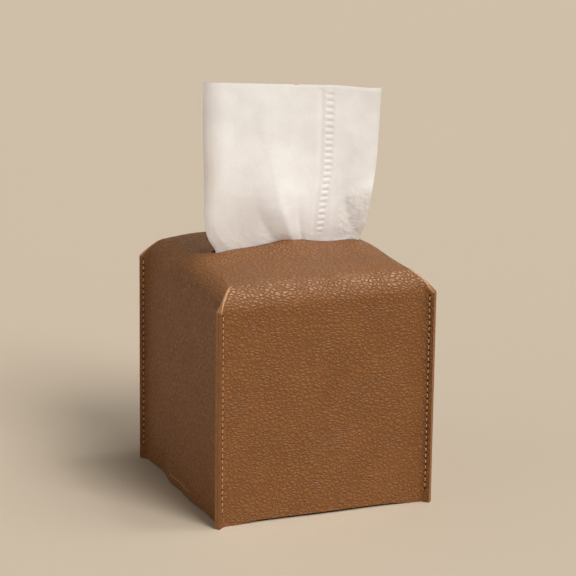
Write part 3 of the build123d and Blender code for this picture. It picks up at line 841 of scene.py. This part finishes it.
def tissue_sheet(materials):
    """The folded tissue as two thin layers that join at its left edge."""
    tail = np.linspace(TAIL_END, TAIL_TOP, TAIL_ROWS)[:-1]
    heights = np.concatenate([tail, np.arange(TAIL_TOP, SHEET_TOP, ROW_HEIGHT), [SHEET_TOP]])
    tip = np.linspace(0, FOLD_TIP, TIP_COLUMNS)[:-1]
    share = np.concatenate([tip, np.linspace(FOLD_TIP, 1, TISSUE_COLUMNS)])
    left, right = smooth_curve(LEFT_EDGE, heights)[:, None], smooth_curve(RIGHT_EDGE, heights)[:, None]
    chord = right - left
    along = chord / np.linalg.norm(chord, axis=2)[..., None]
    front = np.stack([along[..., 1], -along[..., 0]], -1)
    middle = left + chord * share[:, None] + front * tissue_depth(share, heights)[..., None]

    z = tissue_heights(share, heights)
    loose = smooth_step(heights, *LOOSE_FROM) * (1 - smooth_step(heights, *LOOSE_TO))
    gap = (GAP_LEAST + GAP_LOOSE * loose)[:, None] * (1 - GAP_NARROWS * share)
    rounded = np.sqrt(1 - np.clip(1 - share / FOLD_TIP, 0, 1) ** 2)
    across = HALF_SHEET * np.concatenate([-share[::-1], share[1:]])
    build = Builder("flat")
    layers = []
    for shift in (PLY, 0):
        sides = []
        for side in (1, -1):
            off = side * (gap / 2 + shift) * rounded
            place = middle + front * off[..., None] - along * (shift * (share == 0))[:, None]
            sides.append(grid_of(place[..., 0], place[..., 1], z))
        wrap = np.concatenate([sides[0][:, ::-1], sides[1][:, 1:]], 1)
        layers.append(build.grid(wrap, flat=grid_of(across, wrap[..., 2])))
    outer, inner = layers
    build.sheet(outer)
    build.sheet(inner)
    for end in (0, -1):
        build.strip(outer[end], inner[end])
        build.strip(outer[:, end], inner[:, end])
    sheet = make_object(
        "tissue", build.points, build.faces, "tissue", materials, maps=build.maps, sharp=60
    )
    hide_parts("tissue_sheet")


SHADED_TISSUE = srgb(190, 178, 167)   # where no light comes through the sheet from behind


def tissue_material():
    """Soft two-ply tissue: fibres, faint crepe lines and cloudiness, crumpled where it leaves the slit, with
    painted shade low on the left, along its folded left edge and a little at the lower right.
    """
    n = Material("soft_tissue")
    flat = n.uv("flat")
    place = n.split(flat)
    across, up = n.math("ABSOLUTE", place["X"]), place["Y"]
    right = n.times(n.ramp(across, 78, 88), n.fall(up, 165, 178))
    left = n.times(n.fall(across, 30, 55), n.fall(up, 140, 165))
    foot = n.times(n.fall(across, 40, 58), n.fall(up, 140, 158))

    fibre = n.noise(flat, 1.6, 5, 0.7)
    crepe = n.noise(n.vector("MULTIPLY", flat, (0.5, 3.0, 1)), 0.9, 3, 0.6)
    soft = n.noise(flat, 0.09, 3, 0.55)
    wrinkle = n.noise(n.vector("MULTIPLY", flat, (1.0, 0.6, 1)), 0.13, 2, 0.4)
    crinkle = n.noise(n.vector("MULTIPLY", flat, (0.8, 1.1, 1)), 0.22, 3)
    wrinkled = n.times(wrinkle, n.times_plus(left, 0.3, n.math("ADD", right, 0.12)))
    crumpled = n.times(crinkle, n.math("MAXIMUM", foot, right))
    normal = n.bump(n.math("ADD", fibre, crepe), 0.10)
    for height, depth in ((soft, 0.2), (wrinkled, 1.2), (crumpled, 0.65)):
        normal = n.bump(height, depth, normal)

    cloud = n.ramp(n.times_plus(fibre, 0.4, n.times(soft, 0.6)), 0.3, 0.7)
    colour = n.mix(cloud, srgb(229, 225, 222), srgb(238, 235, 232))
    # painted shade: darker low on the left, in a strip along the folded left edge and a little at the lower
    # right
    low = n.times(n.fall(up, 150, 232), n.fall(across, 22, 48))
    edge = n.times(n.fall(across, 2, 13), n.ramp(up, 155, 190))
    shaded = n.math("ADD", n.times_plus(low, 0.55, n.times(edge, 0.5)), n.times(right, 0.12))
    colour = n.mix(shaded, colour, SHADED_TISSUE)
    return n.finish(colour, 0.9, normal, Sheen_Weight=0.15, Sheen_Roughness=0.6)


tissue_sheet([tissue_material()])


# ---------------------------------------------------------------- the pieces that keep their CAD shape

def dress(nodes, material):
    """Gives CAD nodes a material."""
    for node in nodes:
        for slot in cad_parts[node].material_slots:
            slot.material = material


def nodes_named(start):
    return [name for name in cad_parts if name.startswith(start)]


def tape_material(name, dark, pale, pitch, relief, roughness):
    """Woven tape covered with hooks or loops, in rows."""
    n = Material(name)
    place = n.place()
    high = n.fall(n.cells(place, 1 / pitch, "F1", 0.35), 0.15, 0.55)
    fuzz = n.noise(place, 6.0, 4)
    colour = n.mix(n.times_plus(fuzz, 0.4, n.times(high, 0.6)), dark, pale)
    return n.finish(colour, roughness, n.bump(n.times_plus(fuzz, 0.4, high), relief))


def film_material():
    """Clear film, with a faint ripple."""
    n = Material("clear_film")
    ripple = n.noise(n.place(), 0.12)
    colour = n.mix(ripple, srgb(226, 232, 236), srgb(244, 247, 249))
    return n.finish(colour, 0.12, n.bump(ripple, 0.4), Alpha=0.4)


strap_leather = fibre_material("strap_leather", srgb(104, 66, 36), srgb(128, 84, 48), 1.1, 0.16, 0.55)
board = fibre_material("folding_board", srgb(214, 208, 198), srgb(232, 227, 218), 0.7, 0.03, 0.8)
bundle = fibre_material("stacked_tissue", srgb(222, 217, 210), srgb(242, 238, 233), 0.6, 0.25, 0.95)
dress(["strap_long", "strap_short", "strap_sewn_end_left", "strap_sewn_end_right"], strap_leather)
dress(["hook_pad"], tape_material("hook_tape", srgb(40, 33, 28), srgb(84, 72, 62), 1.3, 0.5, 0.5))
dress(["loop_pad"], tape_material("loop_tape", srgb(48, 40, 34), srgb(92, 80, 70), 0.8, 0.35, 0.9))
dress(["hook_pad_thread", "loop_pad_thread"], thread)
dress(nodes_named("carton_"), board)
dress(nodes_named("tissue_bundle_"), bundle)
dress(["dispensing_film"], film_material())


# ---------------------------------------------------------------- stage

FLOOR_SIZE = 12              # in metres
FLOOR_COLOURS = srgb(190, 175, 155), srgb(193, 178, 158)
BACKDROP = srgb(205, 189, 167)
WORLD_COLOUR = 1, 0.955, 0.9
WORLD_LEFT, WORLD_RIGHT = 0.72, 0.16     # the world's light from the left, and from elsewhere
WORLD_FADE = -1.0, -0.3      # x of the directions between which it changes
DAYLIGHT = 1, 0.995, 0.985
WARM = 1, 0.85, 0.68

# each sun's energy, spread, azimuth (0 in front, 90 to the right), elevation and colour
SUNS = {
    "key": (2.6, 26, 18, 44, DAYLIGHT),
    "top": (1.05, 36, 62, 58, DAYLIGHT),
    "glint": (4.7, 4, 72, 68, WARM),
}


def toward(azimuth, elevation):
    """The direction of something seen at that azimuth and elevation, in degrees."""
    azimuth, elevation = radians(azimuth), radians(elevation)
    return Vector((sin(azimuth) * cos(elevation), -cos(azimuth) * cos(elevation), sin(elevation)))


def paper_floor():
    """A floor of slightly cloudy paper."""
    bpy.ops.mesh.primitive_plane_add(size=FLOOR_SIZE)
    floor = bpy.context.object
    floor.name = "floor"
    n = Material("floor_paper")
    cloud = n.noise(n.add("TexCoord").outputs["Object"], 1.4, 3)
    n.put(n.shader.inputs["Base Color"], n.mix(cloud, *FLOOR_COLOURS))
    n.put(n.shader.inputs["Roughness"], 0.9)
    floor.data.materials.append(n.material)


def suns():
    """The suns. The glint only adds highlights to what shines."""
    for name, (energy, spread, azimuth, elevation, colour) in SUNS.items():
        light = bpy.data.lights.new(name, "SUN")
        light.energy = energy
        light.angle = radians(spread)
        light.color = colour
        lamp = bpy.data.objects.new(name, light)
        bpy.context.scene.collection.objects.link(lamp)
        lamp.rotation_euler = toward(azimuth, elevation).to_track_quat("Z", "Y").to_euler()
        lamp.visible_diffuse = name != "glint"


def surroundings():
    """Soft light, stronger from the left, and a pale backdrop for what is seen, mirrored or seen through."""
    world = bpy.data.worlds.new("studio")
    bpy.context.scene.world = world
    world.use_nodes = True
    n = Nodes(world.node_tree)
    direction = n.split(n.add("TexCoord").outputs["Generated"])
    light = n.tree.nodes["Background"]
    n.put(light.inputs["Color"], WORLD_COLOUR)
    n.put(light.inputs["Strength"], n.ramp(direction["X"], *WORLD_FADE, WORLD_LEFT, WORLD_RIGHT))
    backdrop = n.add("Background", {"Color": BACKDROP})
    rays = n.add("LightPath").outputs
    seen = n.math("MAXIMUM", rays["Is Camera Ray"], rays["Is Glossy Ray"])
    seen = n.math("MAXIMUM", seen, rays["Is Transmission Ray"])
    both = n.add("MixShader", {0: seen, 1: light.outputs[0], 2: backdrop.outputs[0]})
    n.put(n.tree.nodes["World Output"].inputs["Surface"], both.outputs[0])


def camera():
    """The photograph's view."""
    azimuth, roll = radians(CAMERA_AZIMUTH), radians(CAMERA_ROLL)
    back = toward(CAMERA_AZIMUTH, CAMERA_ELEVATION)
    right = Vector((cos(azimuth), sin(azimuth), 0))
    up = back.cross(right)
    right, up = right * cos(roll) + up * sin(roll), up * cos(roll) - right * sin(roll)
    data = bpy.data.cameras.new("camera")
    data.lens = CAMERA_LENS
    data.sensor_width = CAMERA_SENSOR
    view = bpy.data.objects.new("camera", data)
    bpy.context.scene.collection.objects.link(view)
    place = Matrix((right, up, back)).transposed().to_4x4()
    place.translation = MM * (Vector(CAMERA_TARGET) + back * CAMERA_DISTANCE)
    view.matrix_world = place
    bpy.context.scene.camera = view


paper_floor()
suns()
surroundings()
camera()
bpy.context.scene.view_settings.view_transform = "Standard"
